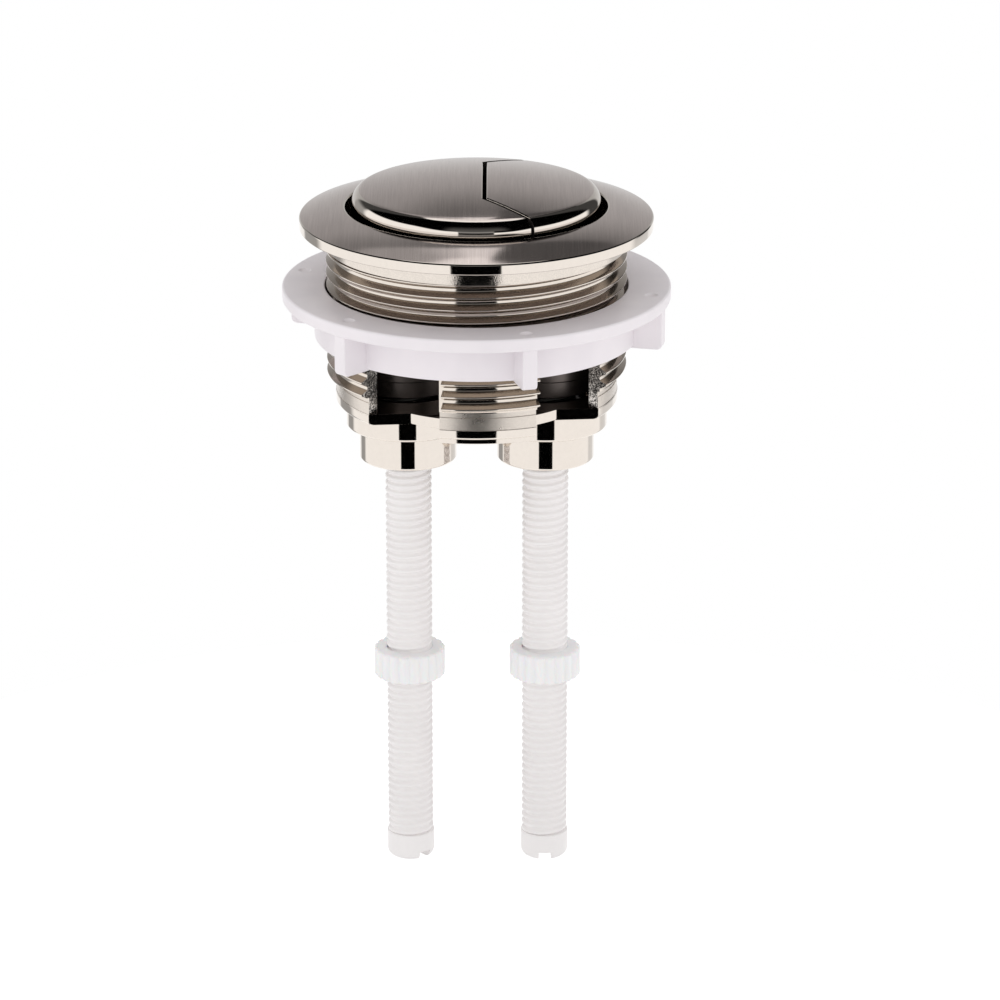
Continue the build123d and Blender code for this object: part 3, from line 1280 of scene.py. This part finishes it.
@dataclass
class ButtonPair:
    """The two buttons: one domed disc that a bent split parts, on guide posts with snap legs."""

    radius: float = 20.35
    shoulder: float = 6.0
    edge: float = 2.1
    wall: float = 1.6
    skirt_end: float = -6.0
    split_gap: float = 0.56
    split_offset: float = 1.35
    split_straight: float = 22.0
    split_turn: float = 47.0
    split_round: float = 0.3
    mouth_angles: tuple[float, ...] = (12.0, 24.0, 36.0, 48.0, 60.0)
    mouth_sink: float = 0.94
    post_radius: float = 8.45
    post_end: float = -27.3
    post_ring: float = -24.6
    pocket_radius: float = 6.95
    pocket_top: float = -4.0
    stem_radius: float = 5.0
    stem_end: float = -39.35
    rod_bore: float = 3.95
    rod_bore_top: float = -14.0
    leg_angle: float = 18.0
    leg_middle: float = 36.7
    hook_top: float = -14.25
    hook_radius: float = 22.55
    hook_step: float = 0.9
    leg_end: float = -16.85
    crown: float = field(init=False)
    sphere: float = field(init=False)

    def __post_init__(self) -> None:
        """Take the crown's height from the frame and find the dome's radius."""
        self.crown = box_mm("full_flush_button")[1].z
        rise = self.crown - self.shoulder
        self.sphere = (self.radius**2 + rise**2) / (2 * rise)

    def build(self) -> list[Piece]:
        """Build both buttons.

        Returns:
            The full and half flush buttons.
        """
        halves = self.split(self.dome(), self.split_gap, self.split_round)
        cores = self.split(self.core(), self.split_gap + 2 * self.wall, 0.0)
        return [self.button(side, half, core) for side, half, core in zip(Side, halves, cores)]

    def split(self, disc: Piece, gap: float, bend: float) -> list[Piece]:
        """Part a disc along the bent split.

        Args:
            disc: The disc, which is used up.
            gap: Width of the split.
            bend: Rounding at the split's mouth.

        Returns:
            The parts on the full flush and the half flush side.
        """
        for groove in self.grooves(gap, bend):
            disc.combine(groove, Cut.AWAY)
        *scraps, small, large = sorted(disc.loose_parts(), key=lambda part: len(part.obj.data.vertices))
        for scrap in scraps:
            bpy.data.objects.remove(scrap.obj, do_unlink=True)
        return sorted((small, large), key=lambda part: part.middle().x)

    def core(self) -> Piece:
        """Turn the room inside the buttons.

        Returns:
            The room, as a solid.
        """
        inner, top, chamfer = self.radius - self.wall, self.shoulder - self.wall, 0.8
        return Piece.turned("core", [
            Corner(0.0, top), Corner(inner - chamfer, top), Corner(inner, top - chamfer),
            Corner(inner, self.skirt_end - 1.0), Corner(0.0, self.skirt_end - 1.0),
        ], steps=96)

    def dome(self) -> Piece:
        """Turn the solid dome that the buttons are cut from.

        Returns:
            The dome.
        """
        centre = self.crown - self.sphere
        arc = [Corner(r, centre + math.sqrt(self.sphere**2 - r**2)) for r in range(0, 19, 2)]
        return Piece.turned("dome", [
            *arc,
            Corner(self.radius, self.shoulder, self.edge, 10),
            Corner(self.radius, self.skirt_end),
            Corner(0.0, self.skirt_end),
        ], steps=160)

    def grooves(self, gap: float, bend: float) -> list[Piece]:
        """Cutters for the split's straight middle and its two slanting ends.

        Args:
            gap: Width of the split.
            bend: Rounding at the split's mouth.

        Returns:
            The cutters.
        """
        half = self.split_straight / 2
        turn = math.radians(self.split_turn)
        offset = self.split_offset * math.cos(turn) - half * math.sin(turn)
        corner = self.split_offset * math.sin(turn) + half * math.cos(turn)
        reach = self.radius + 3.0

        def runs(lap: float) -> list[tuple[str, float, float, float, float]]:
            """The split's runs, each lengthened by a lap at its bends."""
            return [
                ("split_middle", 0.0, self.split_offset, -half - lap, half + lap),
                ("split_front", self.split_turn, offset, -reach, -corner + lap),
                ("split_back", -self.split_turn, offset, corner - lap, reach),
            ]

        bend_slope = math.tan(turn / 2)
        cutters = [self.slot(*run, gap / 2) for run in runs(gap / 2 * bend_slope + 0.05)]
        if bend:
            cutters += [self.flare(*run, gap / 2, bend) for run in runs((gap / 2 + bend) * bend_slope)]
        return cutters

    def slot(self, name: str, turn: float, offset: float, start: float, end: float, half: float) -> Piece:
        """Make an upright slab along one run of the split.

        Args:
            name: Name of the cutter.
            turn: Turn of the run about the main axis, in degrees.
            offset: Distance of the run from the axis.
            start: Where the run starts, along its own length.
            end: Where it ends.
            half: Half the slot's width.

        Returns:
            The cutter.
        """
        low = (offset - half, start, self.skirt_end - 2.0)
        high = (offset + half, end, self.crown + 2.0)
        return Piece.block(name, low, high).rotate(0.0, 0.0, turn)

    def flare(
        self, name: str, turn: float, offset: float, start: float, end: float, half: float, bend: float
    ) -> Piece:
        """Sweep a flared mouth along the dome over one run of the split.

        Args:
            name: Name of the cutter.
            turn: Turn of the run about the main axis, in degrees.
            offset: Distance of the run from the axis.
            start: Where the run starts, along its own length.
            end: Where it ends.
            half: Half the slot's width.
            bend: Rounding at the slot's mouth.

        Returns:
            The cutter.
        """
        surface = math.sqrt(self.sphere**2 - offset**2)
        angles = [math.radians(angle) for angle in self.mouth_angles]
        curve = [
            (half + bend * (1 - math.cos(angle)), bend * math.sin(angle) - bend * self.mouth_sink)
            for angle in angles
        ]
        tip, above = (half * 0.3, -bend - 0.6), 0.5
        brim = (curve[-1][0] + above * math.tan(angles[-1]), curve[-1][1] + above)
        right = [tip, *curve, brim]
        across = right + [(-u, w) for u, w in reversed(right)]
        lean_sin, lean_cos = offset / self.sphere, surface / self.sphere
        corners = [
            Corner(offset + u * lean_cos + w * lean_sin, surface - u * lean_sin + w * lean_cos) for u, w in across
        ]
        piece = Piece.outline(f"{name}_flare", corners)
        first, last = math.degrees(math.asin(start / surface)), math.degrees(math.asin(end / surface))
        piece.rotate(-first, 0.0, 0.0)
        piece.edit()
        bpy.ops.mesh.spin(steps=24, angle=math.radians(last - first), center=(0, 0, 0), axis=(1, 0, 0))
        piece.weld()
        return piece.rotate(0.0, 0.0, turn).shift(0.0, 0.0, self.crown - self.sphere)

    def button(self, side: Side, half: Piece, core: Piece) -> Piece:
        """Hollow one button, and give it its post and legs.

        Args:
            side: The flush that it belongs to.
            half: Its part of the dome.
            core: The room inside it, which is used up.

        Returns:
            The button.
        """
        name = f"{side.prefix}_button"
        half.obj.name = half.obj.data.name = f"{name}_cap"
        half.combine(core, Cut.AWAY)
        half.gather(self.post(side), *self.legs(side))
        half.smooth(15.0)
        centre = Vector((0.0, 0.0, self.crown - self.sphere))

        def finish(place: Vector, normal: Vector) -> Finish:
            """Brushed on the dome, polished on its edges, near black with painted shade below and in the split.

            Args:
                place: A face's middle.
                normal: Its normal.

            Returns:
                The face's finish.
            """
            # painted shade: the walls of the split and everything below the skirt get the near-black finish
            in_split = abs(normal.z) < 0.15 and math.hypot(place.x, place.y) < self.radius - 0.2
            if in_split or place.z < self.skirt_end + 0.6:
                return RECESS_PAINTED_SHADE
            spoke = place - centre
            on_dome = abs(spoke.length - self.sphere) < 0.08 and normal.dot(spoke.normalized()) > 0.97
            return BRUSHED if on_dome else POLISHED

        half.dress((POLISHED, BRUSHED, RECESS_PAINTED_SHADE), finish)
        return half.mount(name, "brushed_nickel", name)

    def post(self, side: Side) -> Piece:
        """Turn the guide post with the spring's pocket and the threaded stem.

        Args:
            side: The flush that it belongs to.

        Returns:
            The post.
        """
        top = self.shoulder - self.wall + 0.2
        ring = 0.25
        return Piece.turned(f"{side.prefix}_post", [
            Corner(0.0, top),
            Corner(self.post_radius, top),
            Corner(self.post_radius, self.post_ring + ring),
            Corner(self.post_radius - ring, self.post_ring),
            Corner(self.post_radius - ring, self.post_end, 0.3, 3),
            Corner(self.pocket_radius, self.post_end),
            Corner(self.pocket_radius, self.pocket_top),
            Corner(self.stem_radius, self.pocket_top),
            Corner(self.stem_radius, self.stem_end, 0.3, 3),
            Corner(self.rod_bore, self.stem_end),
            Corner(self.rod_bore, self.rod_bore_top),
            Corner(0.0, self.rod_bore_top),
        ], steps=72, axis=(side.axis, 0.0))

    def legs(self, side: Side) -> list[Piece]:
        """Snap legs that hang from the skirt and hook under the tops of the windows.

        Args:
            side: The flush that they belong to.

        Returns:
            The two legs.
        """
        inner = self.radius - self.wall
        corners = [
            Corner(inner, self.skirt_end + 0.5), Corner(self.radius, self.skirt_end + 0.5),
            Corner(self.radius, self.hook_top, 0.3, 3), Corner(self.hook_radius, self.hook_top, 0.15, 2),
            Corner(self.hook_radius, self.hook_top - self.hook_step, 0.3, 3),
            Corner(self.radius, self.leg_end), Corner(inner, self.leg_end),
        ]
        middles = (-90.0 + side.sign * self.leg_middle, 90.0 - side.sign * self.leg_middle)
        return [
            Piece.sector(f"{side.prefix}_leg_{n}", corners, middle - self.leg_angle / 2, self.leg_angle, 10)
            for n, middle in enumerate(middles)
        ]


@dataclass
class ReturnSpring:
    """A coil that pushes one button back up, wound at one length."""

    side: Side
    wire: float = 1.15
    radius: float = 5.775
    turns: float = 9.5
    travel: float = 5.0
    bottom: float = field(init=False)
    top: float = field(init=False)

    def __post_init__(self) -> None:
        """Take the coil's ends from the frame."""
        low, high = box_mm(f"{self.side.prefix}_spring")
        self.bottom, self.top = low.z, high.z

    def build(self) -> Piece:
        """Wind the coil from a round of wire and close its ends.

        Returns:
            The spring.
        """
        name = f"{self.side.prefix}_spring"
        clear_selection()
        bpy.ops.mesh.primitive_circle_add(
            vertices=10, radius=self.wire / 2 * MM, rotation=(math.pi / 2, 0, 0),
            location=(self.radius * MM, 0, (self.bottom + self.wire / 2) * MM),
        )
        spring = Piece(f"{name}_coil")
        bpy.ops.object.transform_apply(location=True, rotation=True, scale=True)
        rise = self.top - self.bottom - self.wire
        spring.screw(0.0, self.turns, 36, rise)
        spring.edit()
        bpy.ops.mesh.select_all(action="DESELECT")
        bpy.ops.mesh.select_non_manifold()
        bpy.ops.mesh.fill_holes(sides=0)
        spring.weld()
        spring.shift(self.side.axis, 0.0, 0.0)
        spring.smooth(50.0)
        spring.dress((SPRING,))
        spring.mount("housing", "spring_steel", name)
        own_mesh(spring.obj)
        return spring


@dataclass
class PushRod:
    """A threaded rod with a slotted foot, screwed up into a button's stem."""

    side: Side
    slot_turn: float
    thread: Thread = Thread(
        root=3.42, crest=3.85, pitch=1.25, crest_flat=0.42, root_flat=0.3,
        crest_round=0.2, root_round=0.18, crest_at_front=-84.1,
    )
    foot_top: float = -107.1
    foot_lap: float = 0.2
    foot_radius: float = 4.0
    foot_round: float = 1.2
    slot_width: float = 2.1
    slot_depth: float = 1.5
    top: float = field(init=False)
    tip: float = field(init=False)

    def __post_init__(self) -> None:
        """Take the rod's ends from the frame."""
        low, high = box_mm(f"{self.side.prefix}_rod")
        self.top, self.tip = high.z, low.z

    def build(self) -> Piece:
        """Wind the thread, turn the foot and slot it.

        Returns:
            The rod.
        """
        name = f"{self.side.prefix}_rod"
        rod = self.thread.wind(f"{name}_thread", self.foot_top, self.top, 40)
        rod.trim((0, 0, self.foot_top - self.foot_lap), (0, 0, 1), Keep.ABOVE)
        rod.trim((0, 0, self.top), (0, 0, 1), Keep.BELOW)
        foot = Piece.turned("foot", [
            Corner(0.0, self.foot_top),
            Corner(self.foot_radius, self.foot_top, 0.2, 3),
            Corner(self.foot_radius, self.tip, self.foot_round, 6),
            Corner(0.0, self.tip),
        ], steps=64)
        reach, half = 2 * self.foot_radius, self.slot_width / 2
        slot = Piece.block("slot", (-reach, -half, self.tip - 1.0), (reach, half, self.tip + self.slot_depth))
        foot.combine(slot.rotate(0.0, 0.0, self.slot_turn), Cut.AWAY)
        foot.soften(0.12, 2, 50.0)
        rod.gather(foot)
        rod.shift(self.side.axis, 0.0, 0.0)
        rod.smooth(40.0)
        rod.dress((ROD_WHITE,))
        return rod.mount(name, "white_rod", name)


@dataclass
class LockNut:
    """A round fluted nut that locks a rod at its length."""

    side: Side
    flutes: int = 20
    per_flute: int = 8
    flute_sink: tuple[float, ...] = (0.36, 0.24, 0.07, 0.0, 0.0, 0.0, 0.07, 0.24)
    chamfer: float = 0.45
    radius: float = 6.0
    bore: float = 3.87
    bore_edge: float = 0.05
    top: float = field(init=False)
    bottom: float = field(init=False)

    def __post_init__(self) -> None:
        """Take the nut's ends from the frame."""
        low, high = box_mm(f"{self.side.prefix}_rod_nut")
        self.top, self.bottom = high.z, low.z

    def build(self) -> Piece:
        """Press the flutes into a disc, raise it to a nut and bore it.

        Returns:
            The nut.
        """
        name = f"{self.side.prefix}_rod_nut"
        clear_selection()
        count = self.flutes * self.per_flute
        bpy.ops.mesh.primitive_circle_add(
            vertices=count, radius=self.radius * MM, fill_type="NGON", location=(0, 0, self.bottom * MM)
        )
        nut = Piece(f"{name}_fluted")
        bpy.ops.object.transform_apply(location=True, rotation=True, scale=True)
        for phase, sink in enumerate(self.flute_sink):
            if sink:
                self.press(nut, phase, sink)
        nut.edit()
        height = (self.top - self.bottom) * MM
        bpy.ops.mesh.extrude_region_move(TRANSFORM_OT_translate={"value": (0, 0, height)})
        nut.weld()
        nut.soften(self.chamfer, 3, 60.0)
        mouth = self.bore + self.bore_edge
        bore = Piece.turned("bore", [
            Corner(0.0, self.bottom - 1), Corner(mouth, self.bottom - 1),
            Corner(mouth, self.bottom), Corner(self.bore, self.bottom + self.bore_edge),
            Corner(self.bore, self.top - self.bore_edge), Corner(mouth, self.top),
            Corner(mouth, self.top + 1), Corner(0.0, self.top + 1),
        ], steps=48)
        nut.combine(bore, Cut.AWAY)
        nut.shift(self.side.axis, 0.0, 0.0)
        nut.smooth(40.0)
        nut.dress((LOCK_WHITE,))
        return nut.mount(name, "white_lock_nut", name)

    def press(self, nut: Piece, phase: int, sink: float) -> None:
        """Press one line of every flute inwards.

        Args:
            nut: The disc.
            phase: Place of the line in its flute.
            sink: How far it goes in.
        """
        step = 360.0 / (self.flutes * self.per_flute)

        def in_phase(place: Vector) -> bool:
            """Whether a point lies on this line of a flute."""
            turn = round(math.degrees(math.atan2(place.y, place.x)) / step)
            return turn % self.per_flute == phase

        nut.pick_points(in_phase)
        share = (self.radius - sink) / self.radius
        bpy.ops.transform.resize(
            value=(share, share, 1.0), center_override=(0.0, 0.0, self.bottom * MM)
        )
        bpy.ops.object.mode_set(mode="OBJECT")


@dataclass
class FlangeNut:
    """The white nut under the lid: a collar with a wide flange and six wings to turn it by."""

    bore_radius: float = 24.9
    wall_radius: float = 26.7
    collar_end: float = -18.4
    flange_thickness: float = 2.2
    flange_edge: float = 0.4
    wing_count: int = 6
    wing_clocking: float = -74.0
    wing_width: float = 2.45
    wing_radius: float = 31.5
    wing_corner: float = 1.0
    dimple_radius: float = 1.1
    dimple_depth: float = 0.35
    dimple_place: float = 29.35
    flange_radius: float = field(init=False)
    top: float = field(init=False)
    wing_end: float = field(init=False)

    def __post_init__(self) -> None:
        """Take the outer sizes from the frame."""
        low, high = box_mm("flange_nut")
        self.flange_radius = high.x
        self.top = high.z
        self.wing_end = low.z

    def build(self) -> Piece:
        """Turn the collar and flange, add the wings and press the dimples.

        Returns:
            The nut.
        """
        underside = self.top - self.flange_thickness
        nut = Piece.turned("flange_nut_collar", [
            Corner(self.bore_radius, self.top, 0.25, 3),
            Corner(self.flange_radius, self.top, self.flange_edge, 5),
            Corner(self.flange_radius, underside, self.flange_edge, 5),
            Corner(self.wall_radius, underside, 0.5, 5),
            Corner(self.wall_radius, self.collar_end, 0.3, 4),
            Corner(self.bore_radius, self.collar_end, 0.2, 3),
        ], steps=180)
        nut.combine(self.wings(underside), Cut.ONTO)
        nut.combine(self.dimples(), Cut.AWAY)
        nut.smooth(32.0)
        nut.dress((NUT_WHITE,))
        return nut.mount("flange_nut", "white_nut", "flange_nut")

    def wings(self, underside: float) -> Piece:
        """Shape one wing and copy it round the collar.

        Args:
            underside: Height of the flange's underside.

        Returns:
            The wings.
        """
        half = self.wing_width / 2
        first = Piece.block(
            "wing_0", ((self.bore_radius + self.wall_radius) / 2, -half, self.wing_end),
            (self.wing_radius, half, underside + LAP),
        )
        first.pick_points(lambda p: p.x > self.wing_radius - 0.1 and p.z < self.wing_end + 0.1)
        bpy.ops.mesh.bevel(offset=self.wing_corner * MM, segments=5, affect="EDGES")
        bpy.ops.object.mode_set(mode="OBJECT")
        first.soften(0.25, 3, 50.0)
        wings = [first] + [first.twin(f"wing_{n}") for n in range(1, self.wing_count)]
        for wing, turn in zip(wings, self.wing_turns()):
            wing.rotate(0.0, 0.0, turn)
        return wings[0].gather(*wings[1:])

    def wing_turns(self) -> list[float]:
        """Angles of the wings from +X, in degrees."""
        return [self.wing_clocking + number * 360.0 / self.wing_count for number in range(self.wing_count)]

    def dimples(self) -> Piece:
        """Shallow balls that press the dimples, one over each wing.

        Returns:
            The balls.
        """
        ball = (self.dimple_radius**2 + self.dimple_depth**2) / (2 * self.dimple_depth)
        balls = []
        for number, turn in enumerate(map(math.radians, self.wing_turns())):
            clear_selection()
            bpy.ops.mesh.primitive_uv_sphere_add(
                segments=48, ring_count=64, radius=ball * MM,
                location=(
                    self.dimple_place * math.cos(turn) * MM, self.dimple_place * math.sin(turn) * MM,
                    (self.top - self.dimple_depth + ball) * MM,
                ),
            )
            balls.append(Piece(f"dimple_{number}"))
            bpy.ops.object.transform_apply(location=True, rotation=True, scale=True)
        return balls[0].gather(*balls[1:])


# ---------------------------------------------------------------- the studio


@dataclass
class Studio:
    """The white studio: side panels, a dark gap at the camera, a wall and strip behind, a floor and the camera."""

    panel: float = 1.23
    front: float = 0.28
    ceiling: float = 0.1
    left_dusk: float = 0.35
    right_dusk: float = 0.8
    least_dusk: float = 0.06
    wall: float = 0.70
    upper_wall: float = 0.45
    patch: float = 1.02
    strip: float = 1.2
    soft: float = 1.06
    gap: float = 16.3
    panel_end: float = 127.0
    back_start: float = 149.0
    floor_radius: float = 140.0
    floor_drop: float = 14.0
    paper: Colour = (0.9, 0.9, 0.9, 1.0)
    floor_glow: float = 0.5
    lamp_place: Place = (0.0, 50.0, 700.0)
    lamp_size: float = 800.0
    lamp_power: float = 0.5
    camera_place: Place = (3.85, -727.05, 208.9)
    camera_tilt: float = 70.56
    lens: float = 166.2
    sensor: float = 36.0

    def build(self) -> None:
        """Set up the world, the floor, the lamp and the camera."""
        bpy.context.scene.view_settings.view_transform = "Standard"
        self.world()
        self.floor()
        self.lamp()
        self.camera()

    def world(self) -> None:
        """Wire what the metal mirrors, an even light for the matt pieces and white for the camera."""
        world = bpy.data.worlds.new("studio")
        bpy.context.scene.world = world
        world.use_nodes = True
        graph = Graph(world.node_tree)
        way = graph.node("ShaderNodeTexCoord", output="Generated")
        x, y, z = (graph.node("ShaderNodeSeparateXYZ", {}, {0: way}, axis) for axis in "XYZ")
        to_degrees = 180.0 / math.pi
        turn = graph.maths("ARCTAN2", x, 0.0 - y) * to_degrees
        rear = graph.maths("ARCTAN2", x, y) * to_degrees
        height = graph.maths("ARCSINE", z) * to_degrees

        behind = graph.step(abs(turn), self.back_start - 3.0, self.back_start + 3.0)
        mirrored = self.front_and_sides(graph, turn, height, behind) + self.back(graph, rear, height, behind)
        even = (1.0 - graph.step(height, 10.0, 80.0) * 0.5) * self.soft
        seen = graph.node("ShaderNodeLightPath", output="Is Camera Ray")
        glossy = graph.node("ShaderNodeLightPath", output="Is Glossy Ray")
        light = glossy * mirrored + (1.0 - glossy) * even
        strength = seen + (1.0 - seen) * light
        shader = graph.node("ShaderNodeBackground", {}, {"Color": (1.0, 1.0, 1.0, 1.0), "Strength": strength})
        graph.node("ShaderNodeOutputWorld", {}, {"Surface": shader})

    def front_and_sides(self, graph: Graph, turn: Wire, height: Wire, behind: Wire) -> Wire:
        """Wire the dim front, the bright panels beside it and the dusk between them and the back.

        Args:
            graph: The world's graph.
            turn: Turn from the front, in degrees, to the right.
            height: Height over the horizon, in degrees.
            behind: Share of the back.

        Returns:
            The brightness that the metal mirrors there.
        """
        around = abs(turn)
        right = graph.step(turn, -1.0, 1.0)
        beside = graph.step(around, self.gap - 0.6, self.gap + 0.6)
        flank = graph.step(around, self.panel_end - 9.0, self.panel_end + 1.0)
        front = graph.step(height, -10.0, -6.0) * graph.fall(height, 4.0, 11.0) * self.front
        ceiling = graph.step(height, 6.0, 12.0) * graph.fall(height, 14.0, 52.0) * self.ceiling
        ceiling = ceiling * graph.fall(around, 20.0, 34.0)
        panel_top = 4.0 + graph.step(around, 25.0, 62.0) * 14.0 - right * 10.0
        panels = graph.fall(height - panel_top, -3.0, 3.0) * self.panel
        dusk = (1.0 - right) * graph.fall(height, 6.0, 20.0) * self.left_dusk
        dusk = dusk + right * graph.fall(height, -18.0, -10.0) * self.right_dusk + self.least_dusk
        sides = (1.0 - beside) * front + beside * (1.0 - flank) * panels + ceiling
        return sides + flank * (1.0 - behind) * dusk

    def back(self, graph: Graph, rear: Wire, height: Wire, behind: Wire) -> Wire:
        """Wire the wall behind, which changes with its height, and the bright patch and strip over it.

        Args:
            graph: The world's graph.
            rear: Turn from the back, in degrees, to the right.
            height: Height over the horizon, in degrees.
            behind: Share of the back.

        Returns:
            The brightness that the metal mirrors there.
        """
        off_rear = abs(rear)
        to_right = graph.step(rear, 1.6, 2.8)
        wall = self.wall - graph.step(height, -5.0, 22.0) * 0.22 - graph.step(height, 18.0, 40.0) * 0.32
        wall = wall + graph.fall(height, -18.0, -6.0) * 0.4
        wall = wall + graph.step(0.0 - rear, 3.0, 10.0) * graph.step(height, 22.0, 30.0) * 0.09
        upper = graph.step(height + to_right * 5.0, 38.5, 41.0)
        tone = self.upper_wall + graph.step(rear, -9.0, -2.2) * (1.0 - to_right) * 0.28
        tone = tone - to_right * 0.35 + graph.step(rear, 14.0, 30.0) * 0.15
        tone = tone * graph.fall(off_rear, 20.0, 30.0)
        wall = wall * (1.0 - upper) + upper * tone
        patch = graph.step(rear, -2.6, -1.9) * graph.fall(rear, 2.0, 2.8) * graph.step(height, 38.6, 40.2)
        wall = wall * (1.0 - patch) + patch * self.patch
        strip = graph.step(height - off_rear * 0.35 - to_right * 2.5, 47.0, 49.5)
        strip = strip * graph.fall(height, 84.0, 89.0) * graph.fall(off_rear, 50.0, 75.0)
        return behind * (1.0 - strip) * wall + strip * self.strip

    def floor(self) -> None:
        """Lay a small pale floor below the lowest reach of the rods, white to the camera."""
        clear_selection()
        bpy.ops.mesh.primitive_circle_add(
            vertices=96, radius=self.floor_radius * MM, fill_type="NGON",
            location=(0, 0, (box_mm("full_flush_rod")[0].z - self.floor_drop) * MM),
        )
        floor = Piece("studio_floor")
        bpy.ops.object.transform_apply(location=True, rotation=True, scale=True)
        material, graph = new_graph("studio_floor")
        seen = graph.node("ShaderNodeLightPath", output="Is Camera Ray")
        glossy = graph.node("ShaderNodeLightPath", output="Is Glossy Ray")
        paper = graph.node("ShaderNodeBsdfDiffuse", {}, {"Color": self.paper})
        glow = graph.node("ShaderNodeEmission", {}, {"Strength": (seen + glossy) * self.floor_glow})
        shader = graph.node("ShaderNodeAddShader", {}, {0: paper, 1: glow})
        graph.node("ShaderNodeOutputMaterial", {}, {"Surface": shader})
        floor.obj.data.materials.append(material)

    def lamp(self) -> None:
        """Hang a broad soft lamp overhead for the matt pieces; the metal doesn't mirror it."""
        clear_selection()
        bpy.ops.object.light_add(type="AREA", location=[a * MM for a in self.lamp_place])
        lamp = bpy.context.object
        lamp.name = "overhead_softbox"
        lamp.data.shape = "DISK"
        lamp.data.size = self.lamp_size * MM
        lamp.data.energy = self.lamp_power
        lamp.visible_glossy = False
        lamp.visible_camera = False

    def camera(self) -> None:
        """Set the camera where the photograph was taken."""
        clear_selection()
        bpy.ops.object.camera_add(
            location=[a * MM for a in self.camera_place],
            rotation=(math.radians(self.camera_tilt), 0.0, 0.0),
        )
        camera = bpy.context.object
        camera.name = "photo_camera"
        camera.data.sensor_width = self.sensor
        camera.data.lens = self.lens
        camera.data.clip_start = 0.01
        camera.data.clip_end = 20.0
        bpy.context.scene.camera = camera


def main() -> None:
    """Load the frame, build every piece round it and light it."""
    logging.basicConfig(level=logging.INFO, format="%(name)s: %(message)s")
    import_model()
    Housing().build()
    ButtonPair().build()
    for side, foot_slot_turn in ((Side.FULL, 129.0), (Side.HALF, 92.0)):
        ReturnSpring(side).build()
        PushRod(side, foot_slot_turn).build()
        LockNut(side).build()
    FlangeNut().build()
    Studio().build()
    clear_selection()


if __name__ == "__main__":
    main()
